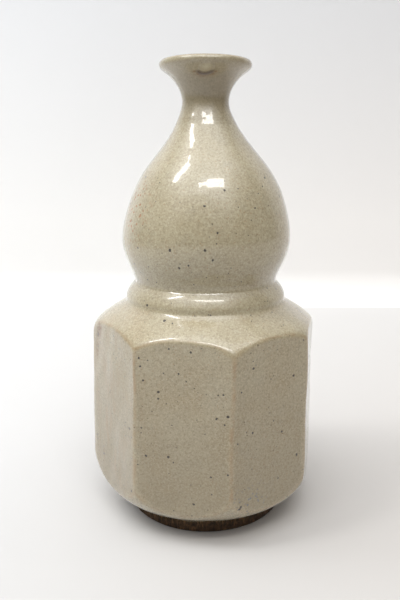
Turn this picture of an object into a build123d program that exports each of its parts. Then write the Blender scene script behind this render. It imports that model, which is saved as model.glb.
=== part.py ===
"""Knife-faceted stoneware sake bottle, in the sections that its potter throws and joins.

Millimetres, +Z up, the origin at the centre of the foot's resting face, the front towards -Y.
A bare turned foot carries a thrown lower chamber with eight flats cut into its wall. A raised
collar covers the joint with a pear-shaped upper chamber, and a slim neck opens into a flared lip.
A glaze coat covers the outside down to the foot, and a liner coat covers the inside.

Outlines are lists of (radius, height) points, from the bottom up. The skin outlines are the glazed
outside, and the clay lies one coat under them.
"""

import math
import os

from build123d import *

# Heights of the joints between the sections, from the table up
FOOT_TOP = 7.0
SHOULDER_CREASE = 106.8
WAIST_CREASE = 116.0
NECK_JOINT = 189.6
CREST = 218.5

# Radii at those joints
FOOT_TOP_RADIUS = 40.9
SHOULDER_CREASE_RADIUS = 39.2
WAIST_CREASE_RADIUS = 34.6
NECK_JOINT_RADIUS = 14.8
CREST_RADIUS = 19.3

# Coats of glaze: their thickness, and how much deeper the glaze pools in a crease
COAT = 0.4
POOL = 0.7

# Foot ring
FOOT_RADIUS = 40.3
FOOT_EDGE_BREAK = 0.8
RECESS_RADIUS = 32.4

# Straight throat of the mouth, between the liner's walls
THROAT_RADIUS = 7.0
THROAT_BOTTOM = 189.0
THROAT_TOP = 203.5

# Inside floor, and the radius at which it starts to turn up into the wall
FLOOR = 13.0
FLOOR_RADIUS = 30.0

# Outside of the lower chamber as thrown, before its flats are cut
LOWER_SKIN = [
    (FOOT_TOP_RADIUS + COAT, FOOT_TOP),
    (45.6, 9.7),
    (50.2, 12.8),
    (54.4, 17.4),
    (57.3, 24.0),
    (58.8, 38.0),
    (59.0, 58.0),
    (58.0, 79.0),
    (57.0, 89.5),
    (55.4, 94.4),
    (52.0, 98.1),
    (47.0, 101.7),
    (43.5, 103.9),
    (41.0, 105.5),
    (SHOULDER_CREASE_RADIUS, SHOULDER_CREASE),
]

# Raised collar: a roll that is fullest low down
COLLAR_SKIN = [
    (SHOULDER_CREASE_RADIUS, SHOULDER_CREASE),
    (39.5, 107.6),
    (39.5, 108.8),
    (38.8, 110.8),
    (37.4, 113.3),
    (WAIST_CREASE_RADIUS, WAIST_CREASE),
]

# Pear-shaped upper chamber
UPPER_SKIN = [
    (WAIST_CREASE_RADIUS, WAIST_CREASE),
    (35.9, 120.3),
    (38.6, 126.2),
    (40.4, 132.2),
    (40.85, 138.0),
    (39.5, 147.0),
    (35.6, 159.0),
    (29.2, 170.2),
    (20.8, 180.7),
    (NECK_JOINT_RADIUS, NECK_JOINT),
]

# Neck, the almost flat underside of the lip, its round edge and its crest
NECK_SKIN = [
    (NECK_JOINT_RADIUS, NECK_JOINT),
    (12.3, 194.9),
    (11.05, 200.3),
    (11.7, 204.1),
    (13.7, 208.1),
    (16.6, 211.5),
    (20.2, 214.2),
    (21.6, 216.0),
    (21.4, 217.3),
    (20.6, 218.2),
    (CREST_RADIUS, CREST),
]

# Inside of the liner, from the edge of the floor up to the throat
CHAMBER_LINER = [
    (FLOOR_RADIUS, FLOOR),
    (41.0, 16.2),
    (45.9, 25.0),
    (46.8, 42.0),
    (46.8, 64.0),
    (45.9, 82.0),
    (42.6, 92.4),
    (36.6, 99.4),
    (31.4, 105.6),
    (29.9, 112.0),
    (31.6, 120.0),
    (34.8, 127.6),
    (36.5, 136.6),
    (35.4, 146.5),
    (31.1, 157.8),
    (24.6, 168.4),
    (17.2, 177.4),
    (11.8, 182.6),
    (8.5, 186.0),
    (THROAT_RADIUS, THROAT_BOTTOM),
]

# Inside of the mouth, from the throat out to the crest
MOUTH_LINER = [
    (THROAT_RADIUS, THROAT_TOP),
    (8.2, 207.3),
    (11.2, 211.1),
    (14.8, 214.9),
    (16.6, 217.1),
    (17.8, 218.2),
    (CREST_RADIUS, CREST),
]

# Hand-cut flats, in order round the wall: azimuth of the flat's middle in degrees from the front (-Y)
# towards +X, distance from the axis at mid height, and how far it leans out for each millimetre up
FLATS = [
    (-147.0, 53.1, -0.025),
    (-102.5, 53.6, -0.034),
    (-57.0, 52.4, -0.030),
    (-11.0, 52.2, -0.028),
    (33.5, 52.9, -0.016),
    (78.0, 53.3, -0.010),
    (124.0, 52.7, -0.012),
    (168.5, 52.5, -0.022),
]
FLAT_MIDDLE = 58.0
CUTTER_SIZE = 200.0


def point(radius, height):
    """A point of an outline, on the XZ plane."""
    return (radius, 0, height)


def curve(points):
    """A smooth curve through an outline's points."""
    return Spline([point(*p) for p in points])


def run(*points):
    """Straight edges from point to point of an outline."""
    return Polyline([point(*p) for p in points])


def inset(points, depth):
    """An outline's points moved to its left, which is towards the clay on a skin, apart from its ends."""
    moved = [points[0]]
    for before, here, after in zip(points, points[1:], points[2:]):
        along = (after[0] - before[0], after[1] - before[1])
        length = math.hypot(*along)
        moved.append((here[0] - depth * along[1] / length, here[1] + depth * along[0] / length))
    moved.append(points[-1])
    return moved


def clay_outline(skin):
    """The clay under a skin that starts and ends in a crease, where the glaze pools."""
    points = inset(skin, COAT)
    points[0] = (skin[0][0] - POOL, skin[0][1])
    points[-1] = (skin[-1][0] - POOL, skin[-1][1])
    return points


def lower_clay():
    """The lower chamber's clay outline, which starts on top of the foot ring."""
    points = clay_outline(LOWER_SKIN)
    points[0] = (FOOT_TOP_RADIUS, FOOT_TOP)
    return points


def neck_clay():
    """The neck's clay outline, which ends one coat under the crest."""
    points = clay_outline(NECK_SKIN)
    points[-1] = (CREST_RADIUS, CREST - COAT)
    return points


def chamber_clay():
    """The clay behind the chambers' liner."""
    points = inset(CHAMBER_LINER, -COAT)
    points[0] = (FLOOR_RADIUS, FLOOR - COAT)
    points[-1] = (THROAT_RADIUS + COAT, THROAT_BOTTOM)
    return points


def mouth_clay():
    """The clay behind the mouth's liner."""
    points = inset(MOUTH_LINER, -COAT)
    points[0] = (THROAT_RADIUS + COAT, THROAT_TOP)
    points[-1] = (CREST_RADIUS, CREST - COAT)
    return points


def turned(*lines):
    """A solid of revolution about the bottle's axis, from the lines that close its half section."""
    edges = [edge for line in lines for edge in line.edges()]
    return revolve(make_face(edges), Axis.Z, 360)


def core(outline):
    """A solid bar of revolution inside an outline, with flat ends."""
    bottom, top = outline[0], outline[-1]
    ends = run(top, (0, top[1]), (0, bottom[1]), bottom)
    return turned(curve(outline), ends)


def flatted(solid, depth):
    """A thrown solid with the eight flats cut away, each a depth further in than the skin's flat."""
    for azimuth, reach, lean in FLATS:
        turn = math.radians(azimuth)
        outward = (math.sin(turn), -math.cos(turn))
        distance = reach - depth
        flat = Plane(
            origin=(distance * outward[0], distance * outward[1], FLAT_MIDDLE),
            x_dir=(-outward[1], outward[0], 0),
            z_dir=(outward[0], outward[1], -lean),
        )
        waste = Box(CUTTER_SIZE, CUTTER_SIZE, CUTTER_SIZE, align=(Align.CENTER, Align.CENTER, Align.MIN))
        solid = solid - flat * waste
    return solid


def cavity():
    """The hollow of both chambers in the clay, up into the throat."""
    outline = chamber_clay()
    top = (THROAT_RADIUS + COAT, THROAT_TOP)
    ends = run(outline[-1], top, (0, THROAT_TOP), (0, FLOOR - COAT), outline[0])
    return turned(curve(outline), ends)


def foot_ring():
    """The bare turned ring that the bottle stands on."""
    rim = RECESS_RADIUS + FOOT_EDGE_BREAK
    return turned(
        run(
            (rim, 0),
            (FOOT_RADIUS - FOOT_EDGE_BREAK, 0),
            (FOOT_RADIUS, FOOT_EDGE_BREAK),
            (FOOT_TOP_RADIUS, FOOT_TOP),
            (RECESS_RADIUS, FOOT_TOP),
            (RECESS_RADIUS, FOOT_EDGE_BREAK),
            (rim, 0),
        )
    )


def lower_chamber():
    """The thrown lower chamber: floor, faceted wall and shoulder."""
    return flatted(core(lower_clay()), COAT) - cavity()


def lower_glaze():
    """The glaze over the flats and the shoulder."""
    return flatted(core(LOWER_SKIN), 0) - flatted(core(lower_clay()), COAT)


def collar_band():
    """The clay roll that covers the joint between the chambers."""
    return core(clay_outline(COLLAR_SKIN)) - cavity()


def upper_chamber():
    """The thrown pear-shaped upper chamber."""
    return core(clay_outline(UPPER_SKIN)) - cavity()


def coat_over(skin, clay):
    """The glaze between a skin and the clay under it."""
    return turned(curve(skin), run(skin[-1], clay[-1]), curve(clay), run(clay[0], skin[0]))


def neck_and_lip():
    """The thrown neck with its straight throat and flared lip."""
    outside = neck_clay()
    inside = mouth_clay()
    throat = run(inside[0], (inside[0][0], NECK_JOINT), outside[0])
    return turned(curve(outside), curve(inside), throat)


def liner_glaze():
    """The glaze poured round the whole inside, from the floor to the crest of the lip."""
    chamber = chamber_clay()
    mouth = mouth_clay()
    return turned(
        run((0, FLOOR), CHAMBER_LINER[0]),
        curve(CHAMBER_LINER),
        run(CHAMBER_LINER[-1], MOUTH_LINER[0]),
        curve(MOUTH_LINER),
        run(MOUTH_LINER[-1], mouth[-1]),
        curve(mouth),
        run(mouth[0], chamber[-1]),
        curve(chamber),
        run(chamber[0], (0, FLOOR - COAT), (0, FLOOR)),
    )


NODES = {
    "foot_ring": foot_ring,
    "lower_chamber": lower_chamber,
    "collar_band": collar_band,
    "upper_chamber": upper_chamber,
    "neck_and_lip": neck_and_lip,
    "lower_glaze": lower_glaze,
    "collar_glaze": lambda: coat_over(COLLAR_SKIN, clay_outline(COLLAR_SKIN)),
    "upper_glaze": lambda: coat_over(UPPER_SKIN, clay_outline(UPPER_SKIN)),
    "neck_glaze": lambda: coat_over(NECK_SKIN, neck_clay()),
    "liner_glaze": liner_glaze,
}

os.makedirs("parts", exist_ok=True)
for name, make in NODES.items():
    export_step(make(), f"parts/{name}.step")
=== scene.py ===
"""Looks of the faceted sake bottle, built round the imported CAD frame.

Metres, +Z up, the front towards -Y. Shapes are worked out in millimetres and scaled when their mesh is made.
Each outline is read off the CAD nodes with rays. The clay and glaze are then made again with the marks of the
hand that the CAD leaves out: a drifting axis, wavy cuts, soft arrises, throwing rings, and specks of iron.
Azimuths are measured from the front (-Y) towards +X.
"""

import math

import bpy
import numpy as np
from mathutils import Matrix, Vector
from mathutils.bvhtree import BVHTree


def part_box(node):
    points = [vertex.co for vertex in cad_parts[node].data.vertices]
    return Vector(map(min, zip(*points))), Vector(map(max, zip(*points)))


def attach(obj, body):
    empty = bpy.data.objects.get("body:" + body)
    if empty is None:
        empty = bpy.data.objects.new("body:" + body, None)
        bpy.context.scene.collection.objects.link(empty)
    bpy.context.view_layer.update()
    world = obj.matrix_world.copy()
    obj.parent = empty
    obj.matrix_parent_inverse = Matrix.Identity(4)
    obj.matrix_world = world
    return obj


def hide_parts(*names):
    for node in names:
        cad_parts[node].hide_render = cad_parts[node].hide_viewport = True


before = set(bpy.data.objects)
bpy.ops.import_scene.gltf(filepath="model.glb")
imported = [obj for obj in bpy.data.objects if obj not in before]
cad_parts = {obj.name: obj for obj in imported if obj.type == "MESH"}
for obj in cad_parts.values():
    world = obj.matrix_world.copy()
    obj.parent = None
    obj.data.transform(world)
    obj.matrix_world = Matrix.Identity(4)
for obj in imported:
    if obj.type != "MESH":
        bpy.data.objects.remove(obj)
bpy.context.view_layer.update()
MM = 0.001
FULL_TURN = 2 * math.pi

# The coat of glaze, and the gap that keeps the clay's mesh clear of it
GLAZE_COAT = 0.4
CLAY_GAP = 0.06

OUTSIDE_NODES = ["lower_glaze", "collar_glaze", "upper_glaze", "neck_glaze"]
LOWER_COLUMNS = 576
TURNED_COLUMNS = 480
FOOT_COLUMNS = 420
LINER_COLUMNS = 192
CLAY_COLUMNS = 160

# Rays start this far from the axis, outside the bottle
RAY_START = 90

# Levels crowd together over this height below the crest, where the lip turns over
CREST_ZONE = 1.6

# Reading of the outside: spacing of its points, blur of its facets, and round of the coves at the collar
OUTLINE_STEP = 0.1
OUTLINE_BLUR = 0.45
COVE_ROUND = 1.3


# ---------------------------------------------------------------- outlines read off the CAD


def bvh_of(names):
    """One search tree over the triangles of some CAD nodes, in millimetres."""
    points, faces = [], []
    for name in names:
        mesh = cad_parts[name].data
        base = len(points)
        points.extend(v.co / MM for v in mesh.vertices)
        faces.extend([base + i for i in f.vertices] for f in mesh.polygons)
    return BVHTree.FromPolygons(points, faces)


def heights(node):
    """Lowest and highest z of a CAD node, in millimetres."""
    low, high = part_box(node)
    return low.z / MM, high.z / MM


def outward(azimuth):
    """Unit vector away from the axis."""
    return Vector((math.sin(azimuth), -math.cos(azimuth), 0))


def outer_radius(tree, azimuth, z):
    """Radius of the outside at an azimuth and height, or None."""
    away = outward(azimuth)
    hit = tree.ray_cast(away * RAY_START + Vector((0, 0, z)), -away)
    return math.hypot(hit[0].x, hit[0].y) if hit[0] else None


def inner_radius(tree, z):
    """Radius of the inside at a height, or None."""
    hit = tree.ray_cast(Vector((0, 0, z)), outward(0.1))
    return math.hypot(hit[0].x, hit[0].y) if hit[0] else None


def even(points, step):
    """An outline's points again, evenly spaced."""
    along = np.r_[0, np.cumsum(np.hypot(*np.diff(points, axis=0).T))]
    places = np.linspace(0, along[-1], max(3, int(round(along[-1] / step)) + 1))
    return np.stack([np.interp(places, along, points[:, k]) for k in (0, 1)], axis=1)


def softened(points, reach):
    """Evenly spaced points, blurred along the outline, with the two ends kept."""
    step = np.hypot(*(points[1] - points[0]))
    width = max(1, int(round(3 * reach / step)))
    weights = np.exp(-0.5 * (np.arange(-width, width + 1) * step / reach) ** 2)
    weights /= weights.sum()
    padded = np.concatenate(
        [2 * points[0] - points[width:0:-1], points, 2 * points[-1] - points[-2 : -width - 2 : -1]]
    )
    return np.stack([np.convolve(padded[:, k], weights, mode="valid") for k in (0, 1)], axis=1)


def crowded_levels(bottom, top, step, count):
    """Heights a step apart, and a count of closer ones just below the crest."""
    start = top - CREST_ZONE
    return np.r_[np.arange(bottom, start, step), top - CREST_ZONE * np.linspace(1, 0.05, count) ** 2]


def outside_outline():
    """The thrown outside from the foot to the crest of the lip: the furthest reach at each height."""
    tree = bvh_of(OUTSIDE_NODES)
    bottom, top = heights("lower_glaze")[0], heights("neck_glaze")[1]
    shoulder = heights("lower_glaze")[1]
    points = []
    for z in crowded_levels(bottom + 0.02, top, 0.2, 50):
        turns = 120 if z < shoulder else 3
        radii = [outer_radius(tree, FULL_TURN * (k + 0.37) / turns, z) for k in range(turns)]
        radii = [r for r in radii if r]
        if radii:
            points.append((max(radii), z))
    crest = max((v.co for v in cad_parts["neck_glaze"].data.vertices), key=lambda co: co.z) / MM
    points.append((math.hypot(crest.x, crest.y), crest.z))
    outline = softened(even(np.array(points), OUTLINE_STEP), OUTLINE_BLUR)
    cove = softened(outline, COVE_ROUND)
    low, high = heights("collar_glaze")
    z = outline[:, 1:]
    near = np.exp(-(((z - low) / 2.4) ** 2)) + 0.5 * np.exp(-(((z - high) / 2.0) ** 2))
    return outline + near * (cove - outline)


def inside_outline():
    """The liner's inside from the middle of the floor to the crest of the lip."""
    tree = bvh_of(["liner_glaze"])
    top = heights("liner_glaze")[1]
    floor = tree.ray_cast(Vector((0.5, 0.5, 60)), Vector((0, 0, -1)))[0].z
    points = [(0.0, floor)]
    for z in np.r_[floor + 0.05, crowded_levels(floor + 0.3, top, 0.3, 40)]:
        radius = inner_radius(tree, z)
        if radius:
            points.append((radius, z))
    points.append(tuple(OUTSIDE[-1]))
    return np.array(points)


def cad_flats():
    """The flats' planes as (azimuth, distance, lean, height of that distance), from rays round the wall."""
    tree = bvh_of(["lower_glaze"])
    low, high = heights("lower_glaze")
    middle = 0.5 * (low + high)
    groups = {}
    for k in range(720):
        azimuth = FULL_TURN * k / 720
        away = outward(azimuth)
        place, normal, _, _ = tree.ray_cast(away * RAY_START + Vector((0, 0, middle)), -away)
        turn = math.degrees(math.atan2(normal.x, -normal.y))
        groups.setdefault(round(turn), []).append((place, normal))
    flats = []
    for hits in groups.values():
        if len(hits) < 30:
            continue
        normal = sum((n for _, n in hits), Vector()).normalized()
        level = math.hypot(normal.x, normal.y)
        place = hits[len(hits) // 2][0]
        distance = (place.x * normal.x + place.y * normal.y) / level
        flats.append((math.atan2(normal.x, -normal.y), distance, -normal.z / level, place.z))
    return sorted(flats)


OUTSIDE = outside_outline()
INSIDE = inside_outline()
FLATS = cad_flats()


def between(outline, low, high):
    """The part of an outline between two heights, with its ends exactly there."""
    z = outline[:, 1]
    keep = outline[(z > low + 1e-3) & (z < high - 1e-3)]
    ends = [(np.interp(level, z, outline[:, 0]), level) for level in (low, high)]
    return np.concatenate([[ends[0]], keep, [ends[1]]])


# ---------------------------------------------------------------- marks of the hand


def waves(seed, count, reach, *axes):
    """Smooth seeded noise of about unit size: a sum of cosines across the axes, each with its own reach."""
    chance = np.random.default_rng(seed)
    total = np.zeros(np.broadcast(*axes).shape)
    for _ in range(count):
        phase = chance.uniform(0, FULL_TURN)
        for axis, size in zip(axes, reach):
            phase = phase + axis * chance.normal() * FULL_TURN / size
        total += np.cos(phase)
    return total * math.sqrt(2.0 / count)


def round_noise(seed, reach, azimuth, radius, z):
    """Noise on a turned surface, with no seam at the back."""
    return waves(seed, 24, (reach, reach, reach), radius * np.sin(azimuth), radius * np.cos(azimuth), z)


# How far the axis leans towards +X at some heights, as the soft pot settled
DRIFT = [
    (0, 0.0),
    (20, -0.3),
    (60, -0.3),
    (85, 0.0),
    (120, 0.0),
    (140, 0.4),
    (160, 1.0),
    (174, 0.9),
    (188, 0.4),
    (196, 0.0),
    (219, 0.0),
]


def settled(points):
    """Points of the true form moved with the drifting axis."""
    moved = points.copy()
    levels, shifts = zip(*DRIFT)
    moved[..., 0] += np.interp(points[..., 2], levels, shifts)
    return moved


def ring_points(azimuth, radius, z):
    """Grid of points from grids of azimuth, radius and height."""
    return np.stack([radius * np.sin(azimuth), -radius * np.cos(azimuth), z + 0 * azimuth], axis=-1)


def normals_of(grid):
    """Outward unit normals of a grid whose rows go up and whose columns go round."""
    across = np.roll(grid, -1, axis=1) - np.roll(grid, 1, axis=1)
    up = np.gradient(grid, axis=0)
    normal = np.cross(across, up)
    return normal / np.linalg.norm(normal, axis=-1, keepdims=True)


def columns(count):
    """Azimuths evenly spaced round the bottle."""
    return np.arange(count) / count * FULL_TURN


# ---------------------------------------------------------------- meshes


def mesh_piece(name, points, faces, material, nodes=(), marks=None, sharp=50):
    """Makes a closed smooth mesh from millimetre points, and puts it on the frame."""
    mesh = bpy.data.meshes.new(name)
    mesh.from_pydata((np.asarray(points) * MM).tolist(), [], faces)
    mesh.polygons.foreach_set("use_smooth", [True] * len(mesh.polygons))
    mesh.set_sharp_from_angle(angle=math.radians(sharp))
    for mark, values in (marks or {}).items():
        attribute = mesh.attributes.new(mark, "FLOAT", "POINT")
        attribute.data.foreach_set("value", np.ascontiguousarray(values, np.float32))
    mesh.materials.append(material)
    mesh.validate()
    piece = bpy.data.objects.new(name, mesh)
    bpy.context.scene.collection.objects.link(piece)
    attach(piece, "root")
    if nodes:
        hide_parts(*nodes)
    return piece


def grid_faces(rows, count, base, flip=False):
    """Quads of a grid that closes on itself round its columns."""
    row, column = np.meshgrid(np.arange(rows - 1), np.arange(count), indexing="ij")
    after = (column + 1) % count
    a, b = base + row * count + column, base + row * count + after
    c, d = b + count, a + count
    order = (a, d, c, b) if flip else (a, b, c, d)
    return np.stack(order, axis=-1).reshape(-1, 4).tolist()


def bridge(lower, upper, count, flip=False):
    """Quads between two rings that start at two indices."""
    column = np.arange(count)
    after = (column + 1) % count
    order = (lower + column, lower + after, upper + after, upper + column)
    if flip:
        order = order[::-1]
    return np.stack(order, axis=-1).tolist()


def ring_shell(front, back):
    """Points and faces of a closed ring: its outside rows and its inside rows, both from the bottom up."""
    count = front.shape[1]
    start = front.shape[0] * count
    points = np.concatenate([front.reshape(-1, 3), back.reshape(-1, 3)])
    faces = grid_faces(front.shape[0], count, 0)
    faces += grid_faces(back.shape[0], count, start, flip=True)
    faces += bridge(0, start, count, flip=True)
    faces += bridge(start - count, len(points) - count, count)
    return points, faces


def capped_shell(rows):
    """Points and faces of a closed form: rings from its bottom middle, out, and back to its top middle."""
    count = rows.shape[1]
    bottom, top = rows[0].mean(axis=0), rows[-1].mean(axis=0)
    points = np.concatenate([rows.reshape(-1, 3), [bottom], [top]])
    faces = grid_faces(rows.shape[0], count, 0)
    last = (rows.shape[0] - 1) * count
    for k in range(count):
        after = (k + 1) % count
        faces.append([len(points) - 2, after, k])
        faces.append([len(points) - 1, last + k, last + after])
    return points, faces


def coat(name, skin, material, node, marks, skip=2):
    """A coat of glaze: the skin, and its back one coat further in."""
    back = skin - GLAZE_COAT * normals_of(skin)
    chosen = sorted(set(range(0, skin.shape[0], skip)) | {skin.shape[0] - 1})
    points, faces = ring_shell(skin, back[chosen])
    spare = len(points) - skin.shape[0] * skin.shape[1]
    padded = {mark: np.r_[values.reshape(-1), np.zeros(spare)] for mark, values in marks.items()}
    return mesh_piece(name, points, faces, material, [node], padded, sharp=60)


# ---------------------------------------------------------------- node trees


class Tree:
    """Short calls for building a material's nodes."""

    def __init__(self, name):
        self.material = bpy.data.materials.new(name)
        self.material.use_nodes = True
        self.nodes = self.material.node_tree.nodes
        self.links = self.material.node_tree.links
        self.shader = self.nodes["Principled BSDF"]

    def add(self, kind, settings=None, **inputs):
        """A new node, with its settings and its inputs."""
        node = self.nodes.new("ShaderNode" + kind)
        for key, value in (settings or {}).items():
            setattr(node, key, value)
        for key, value in inputs.items():
            self.put(node, key.replace("_", " "), value)
        return node

    def put(self, node, key, value):
        """A value or a link on an input, by its name, or by its number as i0 or i1."""
        socket = node.inputs[int(key[1:])] if key[:1] == "i" and key[1:].isdigit() else node.inputs[key]
        if isinstance(value, bpy.types.NodeSocket):
            self.links.new(value, socket)
        else:
            socket.default_value = value

    def place(self, stretch=(1, 1, 1)):
        """Object coordinates in millimetres, stretched."""
        coordinates = self.add("TexCoord").outputs["Object"]
        scale = tuple(s / MM for s in stretch)
        return self.add("Mapping", Vector=coordinates, Scale=scale).outputs["Vector"]

    def noise(self, size, detail=2.0, roughness=0.5, stretch=(1, 1, 1)):
        """Noise whose features are about a size in millimetres."""
        node = self.add("TexNoise", Vector=self.place(stretch), Scale=1.0 / size, Detail=detail)
        self.put(node, "Roughness", roughness)
        return node.outputs["Fac"]

    def dots(self, size, low, high):
        """1 in small round dots, one or none in each cell of a size in millimetres."""
        cells = self.add("TexVoronoi", Vector=self.place(), Scale=1.0 / size)
        return self.ramp(cells.outputs["Distance"], high, low)

    def ramp(self, value, low, high, bottom=0.0, top=1.0):
        """A value mapped from one range to another, and held at its ends."""
        node = self.add("MapRange", {"clamp": True}, Value=value)
        for key, number in (("From Min", low), ("From Max", high), ("To Min", bottom), ("To Max", top)):
            node.inputs[key].default_value = number
        return node.outputs["Result"]

    def math(self, kind, a, b=0.0):
        """One operation on two values."""
        return self.add("Math", {"operation": kind}, i0=a, i1=b).outputs["Value"]

    def mark(self, name):
        """A mark that the mesh carries on its points, or 0 where it has none."""
        return self.add("Attribute", {"attribute_name": name}).outputs["Fac"]

    def mix(self, amount, a, b):
        """Colour b over colour a."""
        node = self.add("Mix", {"data_type": "RGBA"})
        self.put(node, "Factor", amount)
        for socket, value in ((node.inputs[6], a), (node.inputs[7], b)):
            if isinstance(value, bpy.types.NodeSocket):
                self.links.new(value, socket)
            else:
                socket.default_value = (*value, 1)
        return node.outputs[2]

    def bump(self, height, distance, normal=None):
        """A bump of a height in millimetres."""
        node = self.add("Bump", Height=height, Distance=distance * MM)
        if normal:
            self.links.new(normal, node.inputs["Normal"])
        return node.outputs["Normal"]

    def finish(self, **inputs):
        """Sets the shader's inputs and returns the material."""
        for key, value in inputs.items():
            self.put(self.shader, key.replace("_", " "), value)
        return self.material


GLAZE_PALE = (0.396, 0.346, 0.234)
GLAZE_WARM = (0.352, 0.288, 0.176)
GLAZE_GREY = (0.326, 0.302, 0.226)
GLAZE_SAND = (0.215, 0.165, 0.095)
GLAZE_MILK = (0.560, 0.505, 0.365)
# Painted shade: a dull brown that darkens the flats and the neck where less light falls
GLAZE_PAINTED_SHADE = (0.210, 0.165, 0.100)
GLAZE_TAN = (0.330, 0.210, 0.110)
IRON_BROWN = (0.210, 0.120, 0.060)
IRON_DARK = (0.035, 0.028, 0.024)
RUST = (0.300, 0.090, 0.022)
CRACK_AND_SHADOW_BROWN = (0.085, 0.050, 0.030)
ASH_BLUE = (0.130, 0.155, 0.190)
IRON_GREY = (0.075, 0.058, 0.046)
FOOT_DARK = (0.022, 0.011, 0.004)
FOOT_LIGHT = (0.085, 0.045, 0.018)
BODY_DARK = (0.10, 0.06, 0.04)
BODY_LIGHT = (0.22, 0.15, 0.10)
PAPER_FLECK = (0.4, 0.39, 0.38)


def glaze_material(name, banded):
    """Milky glaze: sandy, freckled with iron, thin and tan where an edge drains it, with painted shade on the
    flats and round the neck.
    """
    t = Tree(name)
    stretch, drift = ((1, 1, 1.8), 0.35) if banded else ((1, 1, 1), 0.9)
    colour = t.mix(t.ramp(t.noise(18, 2, 0.5, stretch), 0.38, 0.70, 0, drift), GLAZE_PALE, GLAZE_WARM)
    colour = t.mix(t.ramp(t.noise(7, 4, 0.65), 0.52, 0.80, 0, 0.5), colour, GLAZE_GREY)
    colour = t.mix(t.ramp(t.noise(1.2, 3, 0.8), 0.46, 0.64, 0, 0.55), colour, GLAZE_SAND)
    colour = t.mix(t.ramp(t.noise(0.9, 2, 0.8, (1.1, 0.9, 1.05)), 0.48, 0.66, 0, 0.50), colour, GLAZE_MILK)
    patches = t.ramp(t.noise(22, 2, 0.5), 0.40, 0.60)
    freckles = t.math("MULTIPLY", t.dots(1.9, 0.11, 0.21), patches)
    colour = t.mix(t.math("MULTIPLY", freckles, 0.65), colour, GLAZE_TAN)
    pepper = t.math("MULTIPLY", t.dots(3.9, 0.06, 0.10), patches)
    colour = t.mix(t.math("MULTIPLY", pepper, 0.85), colour, IRON_DARK)
    # Painted shade: the flat mark darkens the cut flats, more towards the bottom, and the neck below the lip
    colour = t.mix(t.math("MULTIPLY", t.mark("flat"), 0.47), colour, GLAZE_PAINTED_SHADE)
    worn = t.math("MULTIPLY", t.mark("arris"), t.ramp(t.noise(5, 3, 0.6), 0.34, 0.56))
    colour = t.mix(t.math("MULTIPLY", worn, 0.8), colour, GLAZE_TAN)
    hem = t.math("MULTIPLY", t.mark("hem"), t.ramp(t.noise(3, 3, 0.6), 0.3, 0.7, 0.35, 1.0))
    colour = t.mix(hem, colour, GLAZE_TAN)
    colour = t.mix(t.math("MULTIPLY", t.mark("rust"), t.dots(2.3, 0.20, 0.32)), colour, RUST)
    drips = t.math("MULTIPLY", t.mark("drip"), t.ramp(t.noise(3.5, 3, 0.65, (1, 1, 0.2)), 0.46, 0.66))
    colour = t.mix(drips, colour, GLAZE_TAN)
    ash = t.math("MULTIPLY", t.mark("blue"), t.dots(1.8, 0.20, 0.34))
    colour = t.mix(t.math("MULTIPLY", ash, 0.7), colour, ASH_BLUE)
    burnt = t.math("MULTIPLY", t.mark("bare"), t.ramp(t.noise(1.6, 3, 0.7), 0.3, 0.6))
    colour = t.mix(burnt, colour, IRON_BROWN)
    colour = t.mix(t.mark("pale"), colour, GLAZE_MILK)
    # Crack colour: a dark chip on the wall, and under the lip's lump a crack painted dark as the lump's
    # shadow
    colour = t.mix(t.mark("crack"), colour, CRACK_AND_SHADOW_BROWN)
    skin = t.bump(t.noise(2.6, 2, 0.5), 0.05)
    skin = t.bump(t.noise(0.7, 2, 0.5), 0.008, skin)
    gloss = t.bump(t.noise(12, 1, 0.4), 0.022)
    return t.finish(
        Base_Color=colour,
        Roughness=0.26,
        IOR=1.5,
        Coat_Weight=0.8,
        Coat_Roughness=0.035,
        Normal=skin,
        Coat_Normal=gloss,
    )


def clay_material(name, dark, light, lump):
    """Bare fired clay: mottled, matt and gritty, with pale streaks that are partly painted highlights."""
    t = Tree(name)
    colour = t.mix(t.ramp(t.noise(2.2, 4, 0.7), 0.36, 0.66), dark, light)
    # Pale streaks: scoring, partly painted highlights where it catches light
    streaks_and_highlights = t.ramp(t.noise(1.1, 3, 0.7, (1, 1, 0.25)), 0.50, 0.70, 0, 0.8)
    colour = t.mix(streaks_and_highlights, colour, tuple(c * 2.8 for c in light))
    rough = t.bump(t.noise(0.8, 4, 0.7), lump)
    return t.finish(Base_Color=colour, Roughness=0.85, Normal=rough)


def iron_material():
    """Iron that has melted through the glaze."""
    t = Tree("iron_bloom")
    colour = t.mix(t.ramp(t.noise(0.5, 3, 0.6), 0.35, 0.65), IRON_DARK, IRON_GREY)
    return t.finish(Base_Color=colour, Roughness=0.4, Coat_Weight=0.15, Coat_Roughness=0.08)


OUTER_GLAZE = glaze_material("outer_glaze_look", False)
THROWN_GLAZE = glaze_material("thrown_glaze_look", True)
FOOT_CLAY = clay_material("bare_foot_look", FOOT_DARK, FOOT_LIGHT, 0.35)
BODY_CLAY = clay_material("body_clay_look", BODY_DARK, BODY_LIGHT, 0.1)
IRON = iron_material()


# ---------------------------------------------------------------- the lower chamber


def soft_lower(a, b, reach):
    """The smaller of two fields, rounded where they meet."""
    near = np.clip(reach - np.abs(a - b), 0, None) / reach
    return np.minimum(a, b) - near * near * reach * 0.25


# How widely two flats, and a flat and the thrown wall, round into each other
ARRIS_ROUND = 0.7
RIM_ROUND = 1.5

# A field value where there is no flat
NO_FLAT = 1e3


def cut_waviness(index, azimuth, z):
    """How far out a hand-cut flat wanders, in millimetres."""
    side = 55 * azimuth
    slow = waves(100 + index, 8, (70, 90), side, z)
    quick = waves(200 + index, 10, (16, 26), side, z)
    return 0.16 * slow + 0.05 * quick


# Where the shoulder's edge sits higher or lower: azimuth and spread in degrees, and millimetres up
SHOULDER_LIFTS = [(-80, 12, 0.8), (-34, 10, -0.6), (18, 10, -0.9), (57, 13, 1.8)]


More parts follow.
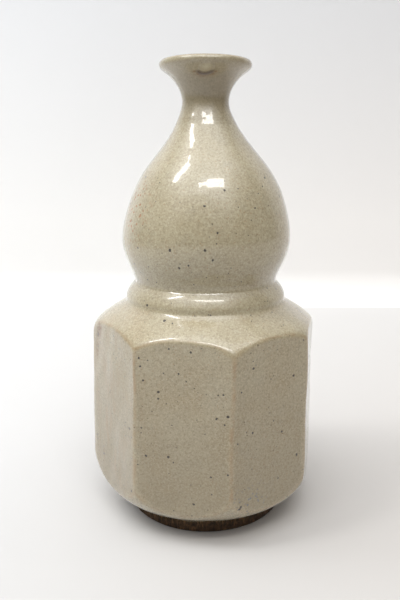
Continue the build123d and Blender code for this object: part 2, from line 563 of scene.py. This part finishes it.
def round_patch(azimuth, z, facing, level, wide, tall):
    """A soft patch round a place, from azimuths in degrees and millimetres."""
    away = (np.degrees(azimuth) - facing + 180) % 360 - 180
    return np.exp(-((away / wide) ** 2) - ((z - level) / tall) ** 2)


def shoulder_lift(azimuth):
    """How much higher the shoulder's edge sits, in millimetres."""
    total = 0
    for facing, spread, lift in SHOULDER_LIFTS:
        total = total + lift * round_patch(azimuth, 0, facing, 0, spread, 1)
    return total


def wall_marks(azimuth, z, low, thrown, cut, second):
    """The faceted wall's marks, from where its two nearest flats and its thrown form lie."""
    corner = np.clip(1 - (second - cut) / 1.1, 0, 1) * np.clip((thrown - cut) / 1.0, 0, 1)
    rim = np.clip(1 - np.abs(thrown - cut) / 0.8, 0, 1)
    hem = np.clip(1 - (z - low) / 3.5, 0, 1) + 0 * azimuth
    return {
        "arris": np.maximum(corner, 0.55 * rim),
        "hem": hem * 0.8,
        "bare": 1.4 * round_patch(azimuth, z, -74, 94, 3, 4) + 0.8 * round_patch(azimuth, z, -77, 84, 2, 6),
        # Painted shade on the cut flats, stronger towards the bottom
        "flat": np.clip((thrown - cut) / 1.5, 0, 1) * np.clip(1.45 - z / 90, 0.25, 1.4),
        "blue": round_patch(azimuth, z, 22, 22, 9, 8),
        "crack": round_patch(azimuth, z, -76, 91, 1.0, 1.2),
        "drip": 0.5 * round_patch(azimuth, z, -58, 60, 20, 45),
    }


def lower_skin():
    """The faceted wall with its marks, and the thrown shoulder above it."""
    low, high = heights("lower_glaze")
    outline = even(between(OUTSIDE, low, high), 0.95)
    azimuth = columns(LOWER_COLUMNS)[None, :]
    radius, z = outline[:, :1], outline[:, 1:]
    upper_part = np.clip((z - 72) / 12, 0, 1) * np.clip((high - 1 - z) / 6, 0, 1)
    lifted = np.interp(z - shoulder_lift(azimuth) * upper_part, OUTSIDE[:, 1], OUTSIDE[:, 0])
    thrown = lifted + 0.10 * round_noise(7, 45, azimuth, radius, z) * np.clip((high - z) / 6, 0, 1)
    cut = np.full(np.broadcast(thrown, azimuth).shape, NO_FLAT)
    second = cut.copy()
    for index, (facing, distance, lean, middle) in enumerate(FLATS):
        away = (azimuth - facing + math.pi) % FULL_TURN - math.pi
        reach = distance + lean * (z - middle) + cut_waviness(index, away, z)
        flat = np.where(np.cos(away) > 0.3, reach / np.clip(np.cos(away), 0.3, 1), NO_FLAT)
        second = np.minimum(second, np.maximum(cut, flat))
        cut = soft_lower(cut, flat, ARRIS_ROUND)
    rolled_hem = 0.35 * np.exp(-(((z - low - 1.6) / 1.1) ** 2))
    whole = soft_lower(thrown, cut, RIM_ROUND) + rolled_hem
    wave = 0.5 * waves(11, 6, (0.9,), azimuth) * np.clip(1 - (z - low) / 5, 0, 1)
    skin = settled(ring_points(azimuth, whole, z + wave))
    return skin, wall_marks(azimuth, z, low, thrown, cut, second)


def turned_skin(node, step, relief):
    """A thrown section: its outline swept round, with a relief in millimetres along the normal."""
    outline = even(between(OUTSIDE, *heights(node)), step)
    azimuth = columns(TURNED_COLUMNS)[None, :]
    radius, z = outline[:, :1], outline[:, 1:]
    plain = ring_points(azimuth, radius + 0 * azimuth, z)
    fade = np.clip(np.minimum(z - z[0], z[-1] - z) / 3, 0, 1)
    return settled(plain + normals_of(plain) * (relief(azimuth, radius, z) * fade)[..., None])


def throwing_rings(azimuth, radius, z):
    """Shallow rings and slow dents left by the thrower's fingers."""
    rings = 0.016 * waves(21, 6, (9.0, 2.4), z + 0 * azimuth, azimuth * 0.5)
    dents = 0.05 * round_noise(22, 45, azimuth, radius, z)
    return rings + dents


def place_of(skin):
    """Azimuth, radius and height of a skin's points."""
    x, y, z = np.moveaxis(skin, -1, 0)
    return np.arctan2(x, -y), np.hypot(x, y), z


def lump_reach(azimuth, radius, z):
    """Distance from the glaze lump under the front of the lip, where 1 is its rim."""
    along = radius * azimuth - 0.4
    return np.hypot(along / 3.6, (z - 213.2 - 0.12 * along) / 2.0)


def crescent(azimuth, radius, z, reach, width):
    """A curved band under the lump."""
    away = (lump_reach(azimuth, radius, z) - reach) / width
    return np.exp(-(away**2)) * np.clip((212.4 - z) / 0.8, 0, 1)


def lip_relief(azimuth, radius, z):
    """The throwing rings, with a lump of glaze under the front of the lip and the crack below it."""
    turn = (azimuth + math.pi) % FULL_TURN - math.pi
    lump = 0.45 * np.sqrt(np.clip(1 - lump_reach(turn, radius, z), 0, 1))
    return throwing_rings(azimuth, radius, z) + lump - 0.35 * crescent(turn, radius, z, 1.12, 0.22)


def neck_marks(skin):
    """Painted shade round the neck below the lip, and the lump, crack and smear under the front of the lip,
    the crack painted dark as the lump's shadow.
    """
    azimuth, radius, z = place_of(skin)
    # Painted shade: a darker band round the neck below the lip, carried on the flat mark
    thin = 1.3 * np.exp(-(((z - 205) / 12) ** 2))
    smear = 0.8 * crescent(azimuth, radius, z, 1.55, 0.3)
    pale = 0.6 * np.clip(1 - lump_reach(azimuth, radius, z), 0, 1)
    # crack: under the lump, a crack painted dark as the lump's shadow
    return {"flat": thin, "crack": crescent(azimuth, radius, z, 1.14, 0.24), "bare": smear, "pale": pale}


def upper_marks(skin):
    """Rust spots low on the left of the pear."""
    azimuth, _, z = place_of(skin)
    return {"rust": round_patch(azimuth, z, -62, 151, 16, 13)}


lower, lower_marks = lower_skin()
lower_piece = coat("lower_glaze_coat", lower, OUTER_GLAZE, "lower_glaze", lower_marks, 4)
collar = turned_skin("collar_glaze", 0.35, throwing_rings)
collar_piece = coat("collar_glaze_coat", collar, THROWN_GLAZE, "collar_glaze", {})
upper = turned_skin("upper_glaze", 0.7, throwing_rings)
upper_piece = coat("upper_glaze_coat", upper, THROWN_GLAZE, "upper_glaze", upper_marks(upper))
neck = turned_skin("neck_glaze", 0.35, lip_relief)
coat("neck_glaze_coat", neck, THROWN_GLAZE, "neck_glaze", neck_marks(neck))


# ---------------------------------------------------------------- clay and liner


def thinned(skin, depth, rows, count):
    """A coarser copy of a skin, a depth further in."""
    inner = skin - depth * normals_of(skin)
    row = np.linspace(0, skin.shape[0] - 1, rows).round().astype(int)
    column = (np.arange(count) * skin.shape[1] / count).round().astype(int) % skin.shape[1]
    return inner[row][:, column]


def turned_rows(outline, count):
    """Rings of an outline, settled."""
    azimuth = columns(count)[None, :]
    return settled(ring_points(azimuth, outline[:, :1] + 0 * azimuth, outline[:, 1:]))


def liner_back(low, high, step):
    """The clay behind the liner between two heights."""
    part = even(between(INSIDE[2:], low, high), step)
    along = np.gradient(part, axis=0)
    along /= np.linalg.norm(along, axis=1, keepdims=True)
    return part + (GLAZE_COAT + CLAY_GAP) * np.stack([along[:, 1], -along[:, 0]], axis=1)


def clay_section(name, skin, node):
    """The clay between a coat and the liner."""
    low, high = heights(node)
    outer = thinned(skin, GLAZE_COAT + CLAY_GAP, 24, CLAY_COLUMNS)
    inner = turned_rows(liner_back(low, high, 2.5), CLAY_COLUMNS)
    points, faces = ring_shell(outer, inner)
    return mesh_piece(name, points, faces, BODY_CLAY, [node])


def lower_clay():
    """The lower chamber's clay, with its floor, which is bare over the foot's recess."""
    low, high = heights("lower_chamber")
    outer = thinned(lower, GLAZE_COAT + CLAY_GAP, 60, CLAY_COLUMNS)
    inner = turned_rows(liner_back(INSIDE[3, 1], high, 2.5)[::-1], CLAY_COLUMNS)
    under_liner = INSIDE[0, 1] - GLAZE_COAT - CLAY_GAP
    floor = turned_rows(np.array([(r, under_liner) for r in (30.0, 2.0)]), CLAY_COLUMNS)
    base = turned_rows(np.array([(r, low + 0.05) for r in (2.0, 12.0, 24.0, 36.0, 40.6)]), CLAY_COLUMNS)
    points, faces = capped_shell(np.concatenate([base, outer, inner, floor]))
    return mesh_piece("lower_chamber_clay", points, faces, BODY_CLAY, ["lower_chamber"])


def liner():
    """The glaze poured round the inside, up to the crest of the lip."""
    low, high = heights("liner_glaze")[0], INSIDE[-1, 1]
    chamber = between(INSIDE[2:], INSIDE[3, 1], high)
    front = even(chamber, 1.2)
    back = liner_back(INSIDE[3, 1], high, 1.6)
    middle = np.array([(1.0, INSIDE[0, 1]), (15.0, INSIDE[0, 1])])
    under = np.array([(15.0, low), (1.0, low)])
    back[:, 0] -= CLAY_GAP
    profile = np.concatenate([under[::-1], back, front[::-1], middle[::-1]])
    points, faces = capped_shell(turned_rows(profile, LINER_COLUMNS))
    return mesh_piece("liner_glaze_coat", points, faces, THROWN_GLAZE, ["liner_glaze"])


lower_clay()
clay_section("collar_clay", collar, "collar_band")
clay_section("upper_chamber_clay", upper, "upper_chamber")
clay_section("neck_clay", neck, "neck_and_lip")
liner()


# ---------------------------------------------------------------- the foot


def foot():
    """The bare turned foot: scored down its side, gritty, and worn round its edge."""
    low, high = heights("foot_ring")
    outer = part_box("foot_ring")[1].x / MM
    inner = inner_radius(bvh_of(["foot_ring"]), 0.5 * (low + high))
    profile = [
        (inner, high),
        (inner, 0.9),
        (inner + 0.9, 0.0),
        (outer - 1.5, 0.0),
        (outer - 0.8, 0.7),
        (outer - 0.1, high),
        (inner + 4, high),
    ]
    outline = even(np.array(profile + profile[:1]), 0.45)[:-1]
    azimuth = columns(FOOT_COLUMNS)[None, :]
    radius, z = outline[:, :1], outline[:, 1:]
    scores = waves(31, 40, (0.05, 14.0), azimuth + 0 * z, z + 0 * azimuth)
    lumps = round_noise(32, 5, azimuth, radius, z)
    side = np.clip(1 - np.abs(radius - outer) / 1.6, 0, 1) * np.clip(z / 0.8, 0, 1)
    radius = radius + side * (0.12 * scores + 0.16 * lumps - 0.25)
    rows = settled(ring_points(azimuth, radius, z))
    count = rows.shape[1]
    points = rows.reshape(-1, 3)
    faces = grid_faces(rows.shape[0], count, 0)
    faces += bridge((rows.shape[0] - 1) * count, 0, count)
    return mesh_piece("foot_ring_clay", points, faces, FOOT_CLAY, ["foot_ring"])


foot()


# ---------------------------------------------------------------- iron specks


def lens(place, normal, radius, height, seed):
    """A low dome with its rim sunk in the glaze, as points and faces."""
    sides = 9
    chance = np.random.default_rng(seed)
    across = normal.orthogonal().normalized()
    beside = normal.cross(across)
    points = [place + normal * height, place - normal * height * 2]
    for reach, lift in ((0.6, 0.8), (1.0, 0.0)):
        for k in range(sides):
            turn = FULL_TURN * k / sides
            wide = radius * reach * (1 + 0.18 * chance.normal())
            around = across * math.cos(turn) * wide + beside * math.sin(turn) * wide
            points.append(place + around + normal * height * lift)
    faces = []
    for k in range(sides):
        after = (k + 1) % sides
        faces.append([0, 2 + k, 2 + after])
        faces.append([2 + k, 2 + sides + k, 2 + sides + after, 2 + after])
        faces.append([1, 2 + sides + after, 2 + sides + k])
    return [tuple(p) for p in points], faces


# Specks that stand out: azimuth in degrees, height and radius in millimetres
LARGE_SPECKS = [
    (-7, 94, 0.60),
    (-32, 90, 0.50),
    (-13, 84, 0.45),
    (-30, 80, 0.50),
    (8, 76, 0.45),
    (5, 65, 0.55),
    (-18, 45, 0.60),
    (10, 39, 0.50),
    (23, 86, 0.55),
    (48, 78, 0.60),
    (23, 56, 0.65),
    (-17, 128, 0.55),
]

# Specks scattered over the rest, the heights that they keep to, and the lowest and highest radius
SCATTERED_SPECKS = 560
SPECK_HEIGHTS = (12, 170)
SPECK_RADII = (0.13, 0.65)


def specks():
    """Iron specks all round the outside, the larger ones placed and the rest scattered."""
    chance = np.random.default_rng(5)
    wanted = [(math.radians(a), z, size) for a, z, size in LARGE_SPECKS]
    for _ in range(SCATTERED_SPECKS):
        z = chance.uniform(*SPECK_HEIGHTS)
        azimuth = chance.uniform(0, FULL_TURN)
        size = float(np.clip(0.29 * math.exp(0.45 * chance.normal()), *SPECK_RADII))
        wanted.append((azimuth, z, size))
    points, faces = [], []
    bpy.context.view_layer.update()
    for index, (azimuth, z, size) in enumerate(wanted):
        away = outward(azimuth)
        start = (away * RAY_START + Vector((0, 0, z))) * MM
        for piece in (lower_piece, collar_piece, upper_piece):
            found, place, normal, _ = piece.ray_cast(start, -away)
            if found:
                break
        if not found:
            continue
        new_points, new_faces = lens(place / MM, normal, size, 0.03 + 0.05 * size, index)
        base = len(points)
        points += new_points
        faces += [[base + i for i in face] for face in new_faces]
    return mesh_piece("iron_specks", points, faces, IRON)


specks()


# ---------------------------------------------------------------- floor, light and camera


def painted_light_paper(name, left, right, axis, start, end, far):
    """Plain matt paper, a little warmer to the right, that pales or dims along an axis in metres: painted
    light and shade where the light falls off.
    """
    t = Tree(name)
    place = t.add("SeparateXYZ", Vector=t.add("TexCoord").outputs["Object"])
    colour = t.mix(t.ramp(place.outputs["X"], -0.14, 0.18), left, right)
    colour = t.mix(t.ramp(place.outputs[axis], start, end), colour, far)
    colour = t.mix(t.ramp(t.noise(400, 1, 0.4), 0.3, 0.7, 0, 0.03), colour, PAPER_FLECK)
    return t.finish(Base_Color=colour, Roughness=0.7, Specular_IOR_Level=0.2)


# Half the width of the table and the wall, in metres
STAGE_REACH = 2.2


def sheet(name, path, material):
    """A wide sheet that follows a path of (y, z) points in metres."""
    points = [(x, y, z) for y, z in path for x in (-STAGE_REACH, STAGE_REACH)]
    faces = [[2 * k, 2 * k + 1, 2 * k + 3, 2 * k + 2] for k in range(len(path) - 1)]
    mesh = bpy.data.meshes.new(name)
    mesh.from_pydata(points, [], faces)
    mesh.polygons.foreach_set("use_smooth", [True] * len(mesh.polygons))
    mesh.materials.append(material)
    piece = bpy.data.objects.new(name, mesh)
    bpy.context.scene.collection.objects.link(piece)


# Painted light and shade: the table lighter to the left and towards the back, darker to the right; the wall
# dimmer towards its top
TABLE_LEFT_PAINTED_LIGHT = (0.555, 0.550, 0.545)
TABLE_RIGHT_PAINTED_SHADE = (0.535, 0.508, 0.482)
TABLE_FAR_PAINTED_LIGHT = (0.680, 0.672, 0.664)
WALL_LEFT = (0.795, 0.785, 0.770)
WALL_RIGHT = (0.815, 0.795, 0.775)
WALL_TOP_PAINTED_SHADE = (0.590, 0.595, 0.610)
PALE_TABLE = painted_light_paper("pale_table", TABLE_LEFT_PAINTED_LIGHT, TABLE_RIGHT_PAINTED_SHADE, "Y", -0.05, 0.45, TABLE_FAR_PAINTED_LIGHT)
PALE_WALL = painted_light_paper("pale_wall", WALL_LEFT, WALL_RIGHT, "Z", 0.10, 0.42, WALL_TOP_PAINTED_SHADE)


def stage():
    """A pale table, and a paler wall that rises behind it with a soft bend."""
    back, bend, top = 0.45, 0.04, 1.6
    turn = np.linspace(0, math.pi / 2, 13)
    wall = [(back - bend + bend * math.sin(a), bend - bend * math.cos(a)) for a in turn] + [(back, top)]
    sheet("table_top", [(-1.6, 0.0), wall[0]], PALE_TABLE)
    sheet("back_wall", wall, PALE_WALL)


# Height that the lights face, in metres
LIGHT_AIM = 0.12

# Sizes of a wide softbox's layers, and the distance from one to the next in metres
LAYERS = (0.6, 0.85, 1.1, 1.35)
LAYER_GAP = 0.02


def softbox(name, azimuth, elevation, distance, wide, tall, power, colour=(1, 1, 1), mirrored=True):
    """A rectangular light that faces the bottle from an azimuth and elevation in degrees.

    The glaze shows it as a highlight only where it is mirrored.
    """
    light = bpy.data.lights.new(name, "AREA")
    light.shape = "RECTANGLE"
    light.size, light.size_y = wide, tall
    light.energy = power
    light.color = colour
    lamp = bpy.data.objects.new(name, light)
    bpy.context.scene.collection.objects.link(lamp)
    rise = math.radians(elevation)
    away = outward(math.radians(azimuth)) * math.cos(rise) + Vector((0, 0, math.sin(rise)))
    lamp.location = Vector((0, 0, LIGHT_AIM)) + away * distance
    lamp.visible_glossy = mirrored
    lamp.rotation_euler = away.to_track_quat("Z", "Y").to_euler()


def wide_softbox(name, azimuth, elevation, distance, wide, tall, power, colour, mirrored=False):
    """A softbox that dims towards its edges: four sizes of light, one just behind another."""
    for layer, grow in enumerate(LAYERS):
        away = distance + LAYER_GAP * layer
        size = (wide * grow, tall * grow)
        softbox(f"{name}_{layer}", azimuth, elevation, away, *size, power / len(LAYERS), colour, mirrored)


def lights():
    """A dim room, two windows, and wide fill lights round them."""
    world = bpy.data.worlds.new("room")
    bpy.context.scene.world = world
    world.use_nodes = True
    background = world.node_tree.nodes["Background"]
    background.inputs["Color"].default_value = (1.0, 0.99, 0.97, 1)
    background.inputs["Strength"].default_value = 0.04
    softbox("window_front", 8, 56, 1.3, 0.75, 0.12, 3.8, (1, 0.98, 0.95))
    softbox("window_side", -70, 57, 1.3, 0.15, 0.50, 3.8)
    wide_softbox("overhead", -40, 78, 1.2, 1.0, 0.8, 1.4, (1, 1, 1))
    wide_softbox("ceiling", -10, 68, 1.6, 3.2, 2.4, 40, (0.98, 0.99, 1.0), True)
    wide_softbox("left_near", -92, 30, 0.75, 0.5, 0.5, 2.35, (0.93, 0.97, 1.0))
    wide_softbox("left_top", -90, 55, 1.1, 0.9, 0.7, 1.4, (0.96, 0.98, 1.0))
    wide_softbox("right_fill", 95, 25, 1.3, 0.9, 0.8, 2.0, (1.0, 0.93, 0.85))


# Camera: its place in metres, how far it is tipped down in degrees, and its shift in heights of the image
EYE = (0, -0.2948, 0.1736)
TILT = 13.09
SHIFT = -5.5 / 600


def camera():
    """The camera, whose lens is as long as its sensor is high."""
    data = bpy.data.cameras.new("camera")
    data.sensor_fit = "VERTICAL"
    data.sensor_height = 36
    data.lens = 36
    data.shift_x = SHIFT
    data.clip_start = 0.01
    eye = bpy.data.objects.new("camera", data)
    bpy.context.scene.collection.objects.link(eye)
    eye.location = EYE
    eye.rotation_euler = (math.radians(90 - TILT), 0, 0)
    bpy.context.scene.camera = eye


stage()
lights()
camera()
bpy.context.scene.view_settings.view_transform = "Standard"
